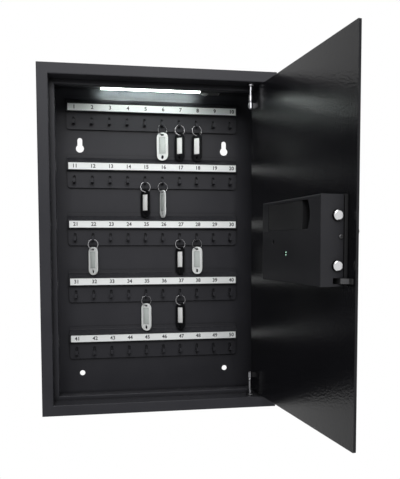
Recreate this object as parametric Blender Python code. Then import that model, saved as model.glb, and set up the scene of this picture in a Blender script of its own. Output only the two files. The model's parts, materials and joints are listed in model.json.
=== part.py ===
"""Wall key cabinet: folded steel body, hinged steel door with an electronic bolt lock, five numbered hook rails,
a battery light bar under the ceiling, and ten key tags hanging on split rings.

Run it with blender --background --python part.py. Lengths are in metres. X is to the right, Y goes into the
cabinet, Z is up, and the origin is the middle of the back face, which lies against the wall.
"""

import math

import bmesh
import bpy
from mathutils import Matrix, Vector

# Body, folded from one sheet
HEIGHT = 0.550
WIDTH = 0.380
DEPTH = 0.140
SHEET = 0.0015
BEND = 0.0014
FLANGE = 0.0175
REBATE = 0.0295
STOP = 0.0075
STOP_RETURN = 0.012
PAN_FLANGE = 0.010

# Clearances shared by all pieces
FIT = 0.0003
OVERRUN = 0.002

# Wall fixing holes in the back panel
KEYHOLE_X = 0.130
KEYHOLE_Z = 0.1665
KEYHOLE_HEAD = 0.014
KEYHOLE_SLOT = 0.0085
KEYHOLE_RISE = 0.0145
LOWER_HOLE_X = 0.131
LOWER_HOLE_Z = -0.2355
LOWER_HOLE = 0.0096

# Hook rails and number strips, heights counted from a strip's top edge
ROWS = 5
HOOKS = 10
TOP_STRIP_Z = 0.2426
ROW_PITCH = 0.102
HOOK_PITCH = 0.0312
STRIP_LENGTH = 0.300
STRIP_HEIGHT = 0.012
STRIP_THICK = 0.0005
STRIP_FACE = 0.0125
RAIL_MARGIN = 0.0025
RAIL_SHEET = 0.0012
RAIL_FOOT = 0.005
RAIL_BEND = 0.001
LEDGE_RISE = 0.0095
LEDGE_FRONT_RISE = 0.0020
LEDGE_FRONT = 0.0132
CHANNEL_GAP_ABOVE = 0.0006
CHANNEL_GAP_BELOW = 0.0014
PLATE_FACE = 0.0042
PLATE_DROP = 0.0435
PLATE_CORNER = 0.0055

# Hooks lanced from the rail
HOOK_WIDTH = 0.0044
HOOK_SEAT = 0.034
HOOK_TIP = 0.0063
HOOK_ROOM = 0.0021
HOOK_ROOT = 0.0004
SLOT_WIDTH = 0.0049
SLOT_TOP = 0.0216

# Split rings and tags
RING_OUTER = 0.0184
RING_WIRE = 0.0010
RING_THICK = 0.0014
RING_OUT = 0.0088
RING_LIFT = 0.0007
TAG_LENGTH = 0.0495
TAG_WIDTH = 0.0205
TAG_THICK = 0.0022
TAG_BRIDGE = 0.0024
TAG_TOP_CORNER = 0.0085
TAG_FOOT_CORNER = 0.0095
TAG_HOLE_WIDTH = 0.0060
TAG_HOLE_HEIGHT = 0.0034
TAG_HOLE_CORNER = 0.0010
TAG_PLAY = 0.0007
TAG_THUMB_WIDTH = 0.0047
TAG_THUMB_HEIGHT = 0.0068
TAG_THUMB_RISE = 0.0062
TAG_WINDOW_WIDTH = 0.0116
TAG_WINDOW_HEIGHT = 0.0290
TAG_WINDOW_DROP = 0.0082
TAG_WINDOW_DEPTH = 0.0007
TAG_WINDOW_CORNER = 0.0006

# Light bar under the ceiling
LIGHT_LEFT = -0.094
LIGHT_RIGHT = 0.109
LIGHT_CENTRE = 0.070
LIGHT_DEPTH = 0.022
LIGHT_BASE = 0.009
LIGHT_END = 0.0016
LIGHT_TAIL = 0.0345
LIGHT_DROP = 0.0196
DIFFUSER_DEPTH = 0.019
DIFFUSER_DROP = 0.0101
DOME = 0.0125
DOME_DROP = 0.0035
DOME_INSET = 0.0082

# Door leaf and hinges, in a frame on the hinge axis: -X to the free edge and +Y into the cabinet, door shut
HINGE_INSET = 0.0405
HINGE_DEPTH = 0.0140
AXIS_STANDOFF = 0.0090
LEAF_THICK = 0.0035
LEAF_GAP = 0.0050
LEAF_HEEL = 0.0175
LEAF_CORNER = 0.0015
HEEL_NOTCH_RUN = 0.0075
HEEL_NOTCH_RISE = 0.003
PIN = 0.0048
KNUCKLE = 0.0078
KNUCKLE_TOP = 0.2270
KNUCKLE_LENGTH = 0.0086
KNUCKLE_FOOT = 0.015
KNUCKLE_FOOT_THICK = 0.002
KNUCKLE_WEB = 0.003
PIN_FLANGE = 0.012
PIN_FLANGE_THICK = 0.003
COLLAR = 0.0073
COLLAR_LENGTH = 0.0087
COLLAR_GAP = 0.003
BALL = 0.0066
PIN_END = 0.0012

# Lock case on the leaf's inner face; u runs from the hinge axis to the free edge, out from the leaf's inner face
CASE_U = 0.207
CASE_WIDTH = 0.180
CASE_HEIGHT = 0.110
CASE_TOP = 0.035
CASE_WALL = 0.0015
CASE_BEND = 0.0014
BASE_HEIGHT = 0.0047
BASE_FLOOR = 0.0015
BASE_MARGIN = 0.002
BASE_RIM = 0.0035

# Bolt work
BOLT = 0.0126
BOLT_HOLE = 0.0140
BOLT_LENGTH = 0.048
BOLT_PROUD = 0.0045
BOLT_OUT = 0.0135
BOLT_Z = 0.030
BOLT_TRAVEL = 0.028
BOLT_CHAMFER = 0.001
CARRIAGE_THICK = 0.0015
CARRIAGE_LENGTH = 0.062
CARRIAGE_HEIGHT = 0.076
CARRIAGE_UPSTAND = 0.0165
SPINDLE = 0.008
SPINDLE_ROOM = 0.0012
SPINDLE_U = 0.245
SPINDLE_Z = 0.012
SPINDLE_IN_KNOB = 0.010
CRANK_ARM = 0.010
CRANK_THICK = 0.002
CRANK_PIN = 0.005
CRANK_SLOT = 0.0066
NOTCH = 0.009
NOTCH_DEPTH = 0.006

# Solenoid under the carriage's lower edge
SOLENOID_U = 0.226
SOLENOID_WIDTH = 0.022
SOLENOID_HEIGHT = 0.0125
SOLENOID_TOP = 0.015
PLUNGER = 0.005
PLUNGER_INSIDE = 0.007

# Battery compartment
BAY_FAR_U = 0.1390
BAY_NEAR_U = 0.2680
BAY_LOW_Z = 0.0145
BAY_HIGH_Z = 0.0510
BAY_BULGE = 0.0060
LID_LENGTH = 0.107
LID_THICK = 0.0014
TUB_WALL = 0.0018
TUB_FLOOR_OUT = 0.016
SCOOP_OUT = 0.0225
CELL = 0.0145
CELL_LENGTH = 0.0505
CELL_LAP = 0.0002
CELL_NIPPLE = 0.0055
CELL_NIPPLE_LENGTH = 0.0012

# Small parts of the case
RESET_U = 0.1575
RESET_Z = -0.001
RESET_HOLE = 0.0054
RESET_LENGTH = 0.012
RESET_SUNK = 0.0012
LENS_U = 0.198
LENS_Z = -0.0165
LENS = 0.0080
LENS_LENGTH = 0.005
LENS_SUNK = 0.0006
LENS_SHOULDER_SHARE = 0.8
LENS_CROWN_SHARE = 0.6
SCREW_OUT = 0.0085
SCREW_Z = 0.0046
SCREW_HEAD = 0.0058
SCREW_HEAD_HEIGHT = 0.0016
SCREW_RIM_SHARE = 0.6
SCREW_SHANK = 0.003
SCREW_LENGTH = 0.006
SCREW_HEX = 0.0026
SCREW_HEX_DEPTH = 0.0009
WINDOW_OUT_LOW = 0.0090
WINDOW_OUT_HIGH = 0.0185
WINDOW_Z_LOW = -0.0518
WINDOW_Z_HIGH = -0.0448
TONGUE_THICK = 0.0015
TONGUE_INSIDE = 0.012
TONGUE_OUT = 0.0096
TONGUE_STEP = 0.004
TONGUE_REACH = 0.016

# Keypad housing, knob and override lock on the leaf's outer face
HOUSING_U = 0.206
HOUSING_WIDTH = 0.156
HOUSING_HEIGHT = 0.092
HOUSING_THICK = 0.011
HOUSING_CORNER = 0.012
HOUSING_EDGE = 0.002
PAD_U = 0.174
PAD_WIDTH = 0.074
PAD_HEIGHT = 0.076
PAD_THICK = 0.0016
PAD_SUNK = 0.0012
PAD_CORNER = 0.004
KNOB = 0.038
KNOB_BASE = 0.005
KNOB_GRIP_HEIGHT = 0.018
KNOB_GRIP_WIDTH = 0.013
KNOB_EDGE = 0.0015
OVERRIDE_Z = -0.028
CYLINDER = 0.016
KEYWAY_WIDTH = 0.002
KEYWAY_HEIGHT = 0.008
KEYWAY_DEPTH = 0.004
CYLINDER_SUNK = 0.001
CAP = 0.020
CAP_THICK = 0.0026
CAP_EDGE = 0.0008

# Shapes' resolution
ROUND_STEPS = 20
SMALL_ROUND_STEPS = 12
RING_STEPS = 20
BEND_STEPS = 3
CORNER_STEPS = 4

# The pose in the photograph: the angle that the door stands open, and how each tag hangs
DOOR_OPEN_DEGREES = 97.0
# hook number, colour, tag turned about the vertical, ring turned about the vertical (degrees)
TAGS = (
    (6, "white", 22.0, 23.0),
    (7, "black", 42.0, 8.0),
    (8, "black", 40.0, 10.0),
    (15, "black", 46.0, 6.0),
    (16, "white", 70.0, 10.0),
    (22, "white", 43.0, 8.0),
    (27, "black", 47.0, 4.0),
    (28, "white", 40.0, 10.0),
    (35, "white", 40.0, 12.0),
    (37, "black", 47.0, 6.0),
)


def clear_scene():
    for obj in list(bpy.data.objects):
        bpy.data.objects.remove(obj)


def material(name, colour, roughness, metallic=0.0, emission=0.0):
    found = bpy.data.materials.get(name)
    if found:
        return found
    made = bpy.data.materials.new(name)
    made.use_nodes = True
    shader = made.node_tree.nodes["Principled BSDF"]
    shader.inputs["Base Color"].default_value = (*colour, 1.0)
    shader.inputs["Roughness"].default_value = roughness
    shader.inputs["Metallic"].default_value = metallic
    shader.inputs["Emission Color"].default_value = (*colour, 1.0)
    shader.inputs["Emission Strength"].default_value = emission
    return made


def powder_coat():
    return material("black_powder_coat", (0.045, 0.045, 0.050), 0.55)


def door_enamel():
    return material("door_black_enamel", (0.012, 0.012, 0.014), 0.30)


def steel():
    return material("bright_steel", (0.62, 0.62, 0.63), 0.25, 1.0)


def zinc():
    return material("zinc_plate", (0.45, 0.45, 0.44), 0.40, 1.0)


def black_plastic():
    return material("black_plastic", (0.02, 0.02, 0.022), 0.45)


def light_plastic():
    return material("grey_plastic", (0.55, 0.56, 0.55), 0.40)


# Outlines


def arc(centre, radius, start, end, steps):
    points = []
    for step in range(steps + 1):
        angle = start + (end - start) * step / steps
        points.append((centre[0] + radius * math.cos(angle), centre[1] + radius * math.sin(angle)))
    return points


def circle(diameter, centre=(0.0, 0.0), steps=ROUND_STEPS):
    return arc(centre, diameter / 2, 0.0, math.tau * (steps - 1) / steps, steps - 1)


def rounded(corners, radii, steps):
    """The outline through these corners, each rounded with its own radius."""
    outline = []
    count = len(corners)
    for index, corner in enumerate(corners):
        radius = radii[index]
        here = Vector(corner)
        before = (Vector(corners[index - 1]) - here).normalized()
        after = (Vector(corners[(index + 1) % count]) - here).normalized()
        if radius <= 0.0:
            outline.append(tuple(here))
            continue
        half = before.angle(after) / 2
        middle = here + (before + after).normalized() * (radius / math.sin(half))
        first = here + before * (radius / math.tan(half)) - middle
        last = here + after * (radius / math.tan(half)) - middle
        for step in range(steps + 1):
            spoke = first.slerp(last, step / steps) * radius
            outline.append(tuple(middle + spoke))
    return outline


def rounded_box(low, high, radius, steps=CORNER_STEPS):
    corners = [(low[0], low[1]), (high[0], low[1]), (high[0], high[1]), (low[0], high[1])]
    return rounded(corners, [radius] * len(corners), steps)


def box_outline(low, high):
    return [(low[0], low[1]), (high[0], low[1]), (high[0], high[1]), (low[0], high[1])]


def capsule(start, end, half_width, steps):
    """A bar with round ends between two points."""
    along = math.atan2(end[1] - start[1], end[0] - start[0])
    quarter = math.pi / 2
    far = arc(end, half_width, along - quarter, along + quarter, steps)
    near = arc(start, half_width, along + quarter, along + 3 * quarter, steps)
    return far + near


# Solids


def finished(shape):
    """The mesh of a closed shape, with its faces turned outwards."""
    bmesh.ops.recalc_face_normals(shape, faces=shape.faces)
    mesh = bpy.data.meshes.new("shape")
    shape.to_mesh(mesh)
    shape.free()
    return mesh


PLANES = {"xy": (0, 1, 2), "xz": (0, 2, 1), "yz": (1, 2, 0)}


def prism(outline, plane, low, high):
    """An outline in one plane, drawn out along the plane's normal."""
    across, along, normal = PLANES[plane]
    shape = bmesh.new()
    rings = []
    for level in (low, high):
        ring = []
        for point in outline:
            place = [0.0, 0.0, 0.0]
            place[across] = point[0]
            place[along] = point[1]
            place[normal] = level
            ring.append(shape.verts.new(place))
        rings.append(ring)
    join_rings(shape, rings)
    shape.faces.new(rings[0])
    shape.faces.new(rings[1])
    return finished(shape)


def join_rings(shape, rings):
    for first, second in zip(rings, rings[1:]):
        count = len(first)
        for index in range(count):
            following = (index + 1) % count
            shape.faces.new((first[index], first[following], second[following], second[index]))


def lofted_frames(frames, closed):
    """Rectangles (x low, x high, z low, z high, y), joined one to the next; the ends are closed or joined up."""
    shape = bmesh.new()
    rings = []
    for left, right, low, high, y in frames:
        corners = ((left, low), (right, low), (right, high), (left, high))
        rings.append([shape.verts.new((x, y, z)) for x, z in corners])
    if closed:
        join_rings(shape, rings + rings[:1])
    else:
        join_rings(shape, rings)
        shape.faces.new(rings[0])
        shape.faces.new(rings[-1])
    return finished(shape)


def turned(profile, steps, closed=False):
    """A profile of (radius, height) points turned about Z; a closed profile makes a ring or a tube."""
    shape = bmesh.new()
    rings = []
    for radius, height in profile:
        if radius == 0.0:
            rings.append([shape.verts.new((0.0, 0.0, height))] * steps)
            continue
        points = circle(2 * radius, steps=steps)
        rings.append([shape.verts.new((x, y, height)) for x, y in points])
    pairs = list(zip(rings, rings[1:]))
    if closed:
        pairs.append((rings[-1], rings[0]))
    for first, second in pairs:
        for index in range(steps):
            following = (index + 1) % steps
            corners = (first[index], first[following], second[following], second[index])
            kept = list(dict.fromkeys(corners))
            shape.faces.new(kept)
    return finished(shape)


def moved(mesh, matrix):
    mesh.transform(matrix)
    return mesh


def shifted(mesh, x=0.0, y=0.0, z=0.0):
    return moved(mesh, Matrix.Translation((x, y, z)))


def laid_along_y(mesh):
    """Turns a piece made about Z so that its top points along +Y."""
    return moved(mesh, Matrix.Rotation(-math.pi / 2, 4, "X"))


def laid_along_x(mesh):
    """Turns a piece made about Z so that its top points along -X, towards the door's free edge."""
    return moved(mesh, Matrix.Rotation(-math.pi / 2, 4, "Y"))


def joined(meshes):
    """Several closed shapes in one mesh, to be used as one cutter or one addition."""
    shape = bmesh.new()
    for mesh in meshes:
        shape.from_mesh(mesh)
    whole = bpy.data.meshes.new("shapes")
    shape.to_mesh(whole)
    shape.free()
    return whole


def carved(mesh, tool, operation):
    body = bpy.data.objects.new("carved_body", mesh)
    cutter = bpy.data.objects.new("carving_tool", tool)
    for obj in (body, cutter):
        bpy.context.scene.collection.objects.link(obj)
    modifier = body.modifiers.new("carve", "BOOLEAN")
    modifier.operation = operation
    modifier.object = cutter
    graph = bpy.context.evaluated_depsgraph_get()
    result = bpy.data.meshes.new_from_object(body.evaluated_get(graph))
    bpy.data.objects.remove(body)
    bpy.data.objects.remove(cutter)
    return result


def cut(mesh, *tools):
    return carved(mesh, joined(tools), "DIFFERENCE")


def fused(mesh, *tools):
    return carved(mesh, joined(tools), "UNION")


def place(name, mesh, finish, parent=None, location=(0.0, 0.0, 0.0), turn=0.0, smooth_degrees=35.0):
    """Puts one named piece into the scene, on its joint's axis where it moves."""
    mesh.name = name
    mesh.materials.clear()
    mesh.materials.append(finish)
    mesh.shade_smooth()
    mesh.set_sharp_from_angle(angle=math.radians(smooth_degrees))
    obj = bpy.data.objects.new(name, mesh)
    bpy.context.scene.collection.objects.link(obj)
    obj.location = location
    obj.rotation_euler = (0.0, 0.0, turn)
    obj.parent = parent
    return obj


def axis_empty(name, location, turn, parent=None):
    empty = bpy.data.objects.new(name, None)
    bpy.context.scene.collection.objects.link(empty)
    empty.location = location
    empty.rotation_euler = (0.0, 0.0, turn)
    empty.parent = parent
    return empty


# The cabinet body


def frame_at(inset, y):
    """A rectangle at this inset from the body's outer sides."""
    half_width = WIDTH / 2 - inset
    half_height = HEIGHT / 2 - inset
    return (-half_width, half_width, -half_height, half_height, y)


def body_shell():
    """Four sides, front flange, rebate and stop frame as one folded section that runs round the opening."""
    opening = FLANGE
    stop = FLANGE + STOP
    stop_back = REBATE + STOP_RETURN
    section = [
        (0.0, DEPTH),
        (0.0, 0.0),
        (opening, 0.0),
        (opening, REBATE),
        (stop, REBATE),
        (stop, stop_back),
        (stop - SHEET, stop_back),
        (stop - SHEET, REBATE + SHEET),
        (opening - SHEET, REBATE + SHEET),
        (opening - SHEET, SHEET),
        (SHEET, SHEET),
        (SHEET, DEPTH),
    ]
    bends = [0.0, BEND, BEND, 0.0, BEND] + [0.0] * (len(section) - 5)
    section = rounded(section, bends, BEND_STEPS)
    shell = lofted_frames([frame_at(inset, depth - DEPTH) for inset, depth in section], closed=True)
    holes = []
    for z in (-BOLT_Z, BOLT_Z):
        lip = WIDTH / 2 - FLANGE
        outline = circle(BOLT_HOLE, (bolt_line_y(), z))
        holes.append(prism(outline, "yz", -lip - SHEET - OVERRUN, -lip + OVERRUN))
    place("body_shell", cut(shell, *holes), powder_coat())


def bolt_line_y():
    """Where the bolts cross the rebate when the door is shut."""
    return HINGE_DEPTH - AXIS_STANDOFF + BOLT_OUT - DEPTH


def keyhole(x):
    """Wide round head below, narrow round-ended slot above."""
    half_slot = KEYHOLE_SLOT / 2
    meet = math.acos(half_slot / (KEYHOLE_HEAD / 2))
    head = arc((x, KEYHOLE_Z), KEYHOLE_HEAD / 2, math.pi - meet, math.tau + meet, ROUND_STEPS)
    top = arc((x, KEYHOLE_Z + KEYHOLE_RISE), half_slot, 0.0, math.pi, SMALL_ROUND_STEPS // 2)
    return head + top


def back_panel():
    """A shallow pan with a rim for spot welds, and the four holes that the cabinet hangs by."""
    edge = SHEET + FIT
    pan = lofted_frames(
        [
            frame_at(edge, 0.0),
            frame_at(edge, -PAN_FLANGE),
            frame_at(edge + SHEET, -PAN_FLANGE),
            frame_at(edge + SHEET, -SHEET),
        ],
        closed=False,
    )
    outlines = [keyhole(-KEYHOLE_X), keyhole(KEYHOLE_X)]
    for x in (-LOWER_HOLE_X, LOWER_HOLE_X):
        outlines.append(circle(LOWER_HOLE, (x, LOWER_HOLE_Z), SMALL_ROUND_STEPS))
    tools = [prism(outline, "xz", -SHEET - OVERRUN, OVERRUN) for outline in outlines]
    place("back_panel", cut(pan, *tools), powder_coat())


# Hook rails


def from_wall(distance):
    """The Y of a point this far in front of the back panel's inner face."""
    return -SHEET - distance


def hook_x(number):
    """A hook's X, from its place in the row, 0 to 9."""
    return (number - (HOOKS - 1) / 2) * HOOK_PITCH


def strip_top(row):
    return TOP_STRIP_Z - row * ROW_PITCH


def rail_section():
    """Wall foot, sloping ledge, channel for the strip, and the hook plate below, as one folded sheet."""
    floor = STRIP_FACE - STRIP_THICK - FIT
    slope_run = LEDGE_FRONT - RAIL_SHEET - FIT
    slope = (LEDGE_RISE - LEDGE_FRONT_RISE) / slope_run
    under = RAIL_SHEET * math.sqrt(1.0 + slope * slope)
    foot_face = RAIL_SHEET + FIT
    bottom = -STRIP_HEIGHT - CHANNEL_GAP_BELOW
    behind_floor = floor - RAIL_SHEET
    section = [
        (foot_face, LEDGE_RISE + RAIL_FOOT),
        (foot_face, LEDGE_RISE),
        (LEDGE_FRONT, LEDGE_FRONT_RISE),
        (LEDGE_FRONT, CHANNEL_GAP_ABOVE),
        (floor, CHANNEL_GAP_ABOVE),
        (floor, bottom),
        (PLATE_FACE, bottom),
        (PLATE_FACE, -PLATE_DROP),
        (PLATE_FACE - RAIL_SHEET, -PLATE_DROP),
        (PLATE_FACE - RAIL_SHEET, bottom + RAIL_SHEET),
        (behind_floor, bottom + RAIL_SHEET),
        (behind_floor, LEDGE_RISE - slope * (behind_floor - foot_face) - under),
        (FIT, LEDGE_RISE + slope * RAIL_SHEET - under),
        (FIT, LEDGE_RISE + RAIL_FOOT),
    ]
    bends = [0.0, RAIL_BEND, 0.0, 0.0, 0.0, RAIL_BEND] + [0.0] * (len(section) - 6)
    return [(from_wall(distance), z) for distance, z in rounded(section, bends, BEND_STEPS)]


def corner_solid(half_length, side):
    """What is cut away to round one lower corner of the hook plate; side is -1 for the left and 1 for the right."""
    inner = half_length - PLATE_CORNER
    level = PLATE_CORNER - PLATE_DROP
    outline = arc((inner, level), PLATE_CORNER, 0.0, -math.pi / 2, CORNER_STEPS)
    outline += [
        (inner, -PLATE_DROP - OVERRUN),
        (half_length + OVERRUN, -PLATE_DROP - OVERRUN),
        (half_length + OVERRUN, level),
    ]
    outline = [(side * x, z) for x, z in outline]
    return prism(outline, "xz", from_wall(PLATE_FACE + OVERRUN), from_wall(0.0))


def hook_solid(x):
    """An arm that stands out of the plate and turns up at its tip."""
    tip_face = hook_tip_face()
    inner = tip_face - RAIL_SHEET
    start = PLATE_FACE - RAIL_SHEET / 2
    top = -HOOK_SEAT + HOOK_TIP
    section = [
        (start, -HOOK_SEAT - RAIL_SHEET),
        (tip_face, -HOOK_SEAT - RAIL_SHEET),
        (tip_face, top),
        (inner, top),
        (inner, -HOOK_SEAT),
        (start, -HOOK_SEAT),
    ]
    section = rounded(section, [0.0, RAIL_SHEET, 0.0, 0.0, 0.0, 0.0], BEND_STEPS)
    outline = [(from_wall(distance), z) for distance, z in section]
    return prism(outline, "yz", x - HOOK_WIDTH / 2, x + HOOK_WIDTH / 2)


def hook_tip_face():
    """How far the hook's front stands from the wall: past the ring's plane, with room for a turned ring."""
    return PLATE_FACE + RING_OUT + HOOK_ROOM + RAIL_SHEET


def slot_solid(x):
    """The round-topped hole that the hook was pressed out of."""
    half = SLOT_WIDTH / 2
    low = -HOOK_SEAT - HOOK_ROOT
    outline = [(x - half, low), (x + half, low)]
    outline += arc((x, -SLOT_TOP - half), half, 0.0, math.pi, CORNER_STEPS + 1)
    front = from_wall(PLATE_FACE + RAIL_SHEET)
    back = from_wall(PLATE_FACE - RAIL_SHEET - RAIL_SHEET)
    return prism(outline, "xz", front, back)


def hook_rails():
    half_length = STRIP_LENGTH / 2 + RAIL_MARGIN
    rail = prism(rail_section(), "yz", -half_length, half_length)
    slots = [slot_solid(hook_x(number)) for number in range(HOOKS)]
    rail = cut(rail, corner_solid(half_length, -1), corner_solid(half_length, 1), *slots)
    rail = fused(rail, *[hook_solid(hook_x(number)) for number in range(HOOKS)])
    half_strip = STRIP_LENGTH / 2
    strip_finish = material("number_strip", (0.80, 0.82, 0.80), 0.35)
    for row in range(ROWS):
        height = (0.0, 0.0, strip_top(row))
        place(f"hook_rail_{row + 1}", rail.copy(), powder_coat(), location=height)
        strip_back = from_wall(STRIP_FACE - STRIP_THICK)
        outline = box_outline((from_wall(STRIP_FACE), -STRIP_HEIGHT), (strip_back, 0.0))
        strip = prism(outline, "yz", -half_strip, half_strip)
        place(f"number_strip_{row + 1}", strip, strip_finish, location=height)


# Rings and tags


def ring_mean():
    return (RING_OUTER - RING_WIRE) / 2


def ring_centre(hook):
    """The middle of the ring on this hook; hooks are numbered from 1, ten to a row."""
    row = (hook - 1) // HOOKS
    number = (hook - 1) % HOOKS
    inner = RING_OUTER / 2 - RING_WIRE
    z = strip_top(row) - HOOK_SEAT + RING_LIFT - inner
    return Vector((hook_x(number), from_wall(PLATE_FACE + RING_OUT), z))


def ring_solid():
    """A flat-sided wire ring in the XZ plane."""
    outer = RING_OUTER / 2
    inner = outer - RING_WIRE
    half = RING_THICK / 2
    profile = [(outer, -half), (outer, half), (inner, half), (inner, -half)]
    return laid_along_y(turned(profile, RING_STEPS, closed=True))


def tag_solid():
    """A flat tag that hangs from the origin, which is the middle of the ring's wire."""
    half = TAG_WIDTH / 2
    top = RING_WIRE / 2 + TAG_PLAY + TAG_BRIDGE
    foot = top - TAG_LENGTH
    corners = [(-half, foot), (half, foot), (half, top), (-half, top)]
    radii = [TAG_FOOT_CORNER, TAG_FOOT_CORNER, TAG_TOP_CORNER, TAG_TOP_CORNER]
    half_thick = TAG_THICK / 2
    plate = prism(rounded(corners, radii, CORNER_STEPS), "xz", -half_thick, half_thick)
    hole_top = RING_WIRE / 2 + TAG_PLAY
    hole_half = TAG_HOLE_WIDTH / 2
    hole = rounded_box((-hole_half, hole_top - TAG_HOLE_HEIGHT), (hole_half, hole_top), TAG_HOLE_CORNER, 2)
    thumb_run = (TAG_THUMB_HEIGHT - TAG_THUMB_WIDTH) / 2
    thumb_z = foot + TAG_THUMB_RISE
    thumb = capsule((0.0, thumb_z - thumb_run), (0.0, thumb_z + thumb_run), TAG_THUMB_WIDTH / 2, CORNER_STEPS)
    window_half = TAG_WINDOW_WIDTH / 2
    window_top = top - TAG_WINDOW_DROP
    window = rounded_box(
        (-window_half, window_top - TAG_WINDOW_HEIGHT), (window_half, window_top), TAG_WINDOW_CORNER, 1
    )
    through = half_thick + OVERRUN
    return cut(
        plate,
        prism(hole, "xz", -through, through),
        prism(thumb, "xz", -through, through),
        prism(window, "xz", -through, TAG_WINDOW_DEPTH - half_thick),
    )


def rings_and_tags():
    finishes = {
        "white": material("white_tag_plastic", (0.82, 0.83, 0.82), 0.35),
        "black": material("black_tag_plastic", (0.015, 0.015, 0.016), 0.35),
    }
    ring = ring_solid()
    tag = tag_solid()
    for hook, colour, tag_degrees, ring_degrees in TAGS:
        turn = math.radians(ring_degrees)
        centre = ring_centre(hook)
        place(f"split_ring_{hook:02d}", ring.copy(), steel(), location=centre, turn=turn)
        pivot = centre - Vector((0.0, 0.0, ring_mean()))
        tag_turn = -math.radians(tag_degrees)
        place(f"key_tag_{hook:02d}", tag.copy(), finishes[colour], location=pivot, turn=tag_turn)


# Light bar


def light_bar():
    ceiling = HEIGHT / 2 - SHEET - FIT
    base_low = ceiling - LIGHT_BASE
    low = ceiling - LIGHT_DROP
    tube_left = LIGHT_LEFT + LIGHT_END
    tube_right = LIGHT_RIGHT - LIGHT_TAIL
    outline = [
        (LIGHT_LEFT, ceiling),
        (LIGHT_LEFT, low),
        (tube_left, low),
        (tube_left, base_low),
        (tube_right, base_low),
        (tube_right, low),
        (LIGHT_RIGHT, low),
        (LIGHT_RIGHT, ceiling),
    ]
    middle = LIGHT_CENTRE - DEPTH
    near = middle - LIGHT_DEPTH / 2
    far = middle + LIGHT_DEPTH / 2
    housing = prism(outline, "xz", near, far)
    place("light_housing", housing, black_plastic())
    half = DIFFUSER_DEPTH / 2
    top = base_low - FIT
    rise = half / DIFFUSER_DROP
    curve = arc((0.0, 0.0), half, math.pi, math.tau, SMALL_ROUND_STEPS)
    section = [(middle + y, top + z / rise) for y, z in curve]
    tube = prism(section, "yz", tube_left + FIT, tube_right - FIT)
    place("light_diffuser", tube, material("glowing_diffuser", (1.0, 1.0, 0.97), 0.4, emission=2.0))
    sphere_steps = CORNER_STEPS
    profile = [(0.0, 0.0), (DOME / 2, 0.0)]
    for step in range(1, sphere_steps):
        angle = math.pi / 2 * step / sphere_steps
        profile.append((DOME / 2 * math.cos(angle), -DOME_DROP * math.sin(angle)))
    profile.append((0.0, -DOME_DROP))
    dome = turned(profile, SMALL_ROUND_STEPS)
    place("light_sensor_dome", dome, light_plastic(), location=(tube_right + DOME_INSET, middle, low - FIT))


# Hinges


def hinge_axis_point():
    return Vector((WIDTH / 2 - HINGE_INSET, HINGE_DEPTH - DEPTH, 0.0))


def hinge_pins():
    """Fixed pins on the rebate's upper and lower faces, with the collars that the door's knuckles run against."""
    lip = HEIGHT / 2 - FLANGE - FIT
    radius = PIN / 2
    end = KNUCKLE_TOP - KNUCKLE_LENGTH - PIN_END
    collar_low = KNUCKLE_TOP + COLLAR_GAP
    top_profile = [
        (0.0, lip),
        (PIN_FLANGE / 2, lip),
        (PIN_FLANGE / 2, lip - PIN_FLANGE_THICK),
        (radius, lip - PIN_FLANGE_THICK),
        (radius, collar_low + COLLAR_LENGTH),
        (COLLAR / 2, collar_low + COLLAR_LENGTH),
        (COLLAR / 2, collar_low),
        (radius, collar_low),
        (radius, end),
        (0.0, end),
    ]
    foot_profile = [(0.0, -lip), (PIN_FLANGE / 2, -lip), (PIN_FLANGE / 2, PIN_FLANGE_THICK - lip)]
    foot_profile.append((radius, PIN_FLANGE_THICK - lip))
    ball_middle = -KNUCKLE_TOP - BALL / 2 - FIT
    meet = math.acos(radius / (BALL / 2))
    for step in range(2 * CORNER_STEPS + 1):
        angle = -meet + meet * step / CORNER_STEPS
        foot_profile.append((BALL / 2 * math.cos(angle), ball_middle + BALL / 2 * math.sin(angle)))
    foot_profile += [(radius, -end), (0.0, -end)]
    place("hinge_pin_top", turned(top_profile, SMALL_ROUND_STEPS), steel(), location=hinge_axis_point())
    place("hinge_pin_bottom", turned(foot_profile, SMALL_ROUND_STEPS), steel(), location=hinge_axis_point())


def knuckle_solid():
    """A tube round the pin on a web and a foot that is welded to the leaf."""
    bore = PIN / 2 + FIT
    outer = KNUCKLE / 2
    profile = [(outer, 0.0), (outer, KNUCKLE_LENGTH), (bore, KNUCKLE_LENGTH), (bore, 0.0)]
    tube = turned(profile, SMALL_ROUND_STEPS, True)
    leaf = FIT - AXIS_STANDOFF
    foot = leaf + KNUCKLE_FOOT_THICK
    half_web = KNUCKLE_WEB / 2
    inside = -(bore + outer) / 2
    outline = [
        (-KNUCKLE_FOOT, leaf),
        (half_web, leaf),
        (half_web, inside),
        (-half_web, inside),
        (-half_web, foot),
        (-KNUCKLE_FOOT, foot),
    ]
    return fused(tube, prism(outline, "xy", 0.0, KNUCKLE_LENGTH))


# Door


def leaf_y(out):
    """The door frame's Y of a point this far out from the leaf's inner face."""
    return out - AXIS_STANDOFF


def free_edge():
    """From the hinge axis to the leaf's free edge."""
    return WIDTH - HINGE_INSET - FLANGE - LEAF_GAP


def out_prism(outline_u, low, high):
    """A solid on the leaf, from an outline in (u, z), between two distances out from its inner face."""
    outline = [(-u, z) for u, z in outline_u]
    return prism(outline, "xz", leaf_y(low), leaf_y(high))


def out_cylinder(diameter, u, z, low, high, steps=ROUND_STEPS):
    return out_prism(circle(diameter, (u, z), steps), low, high)


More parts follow.
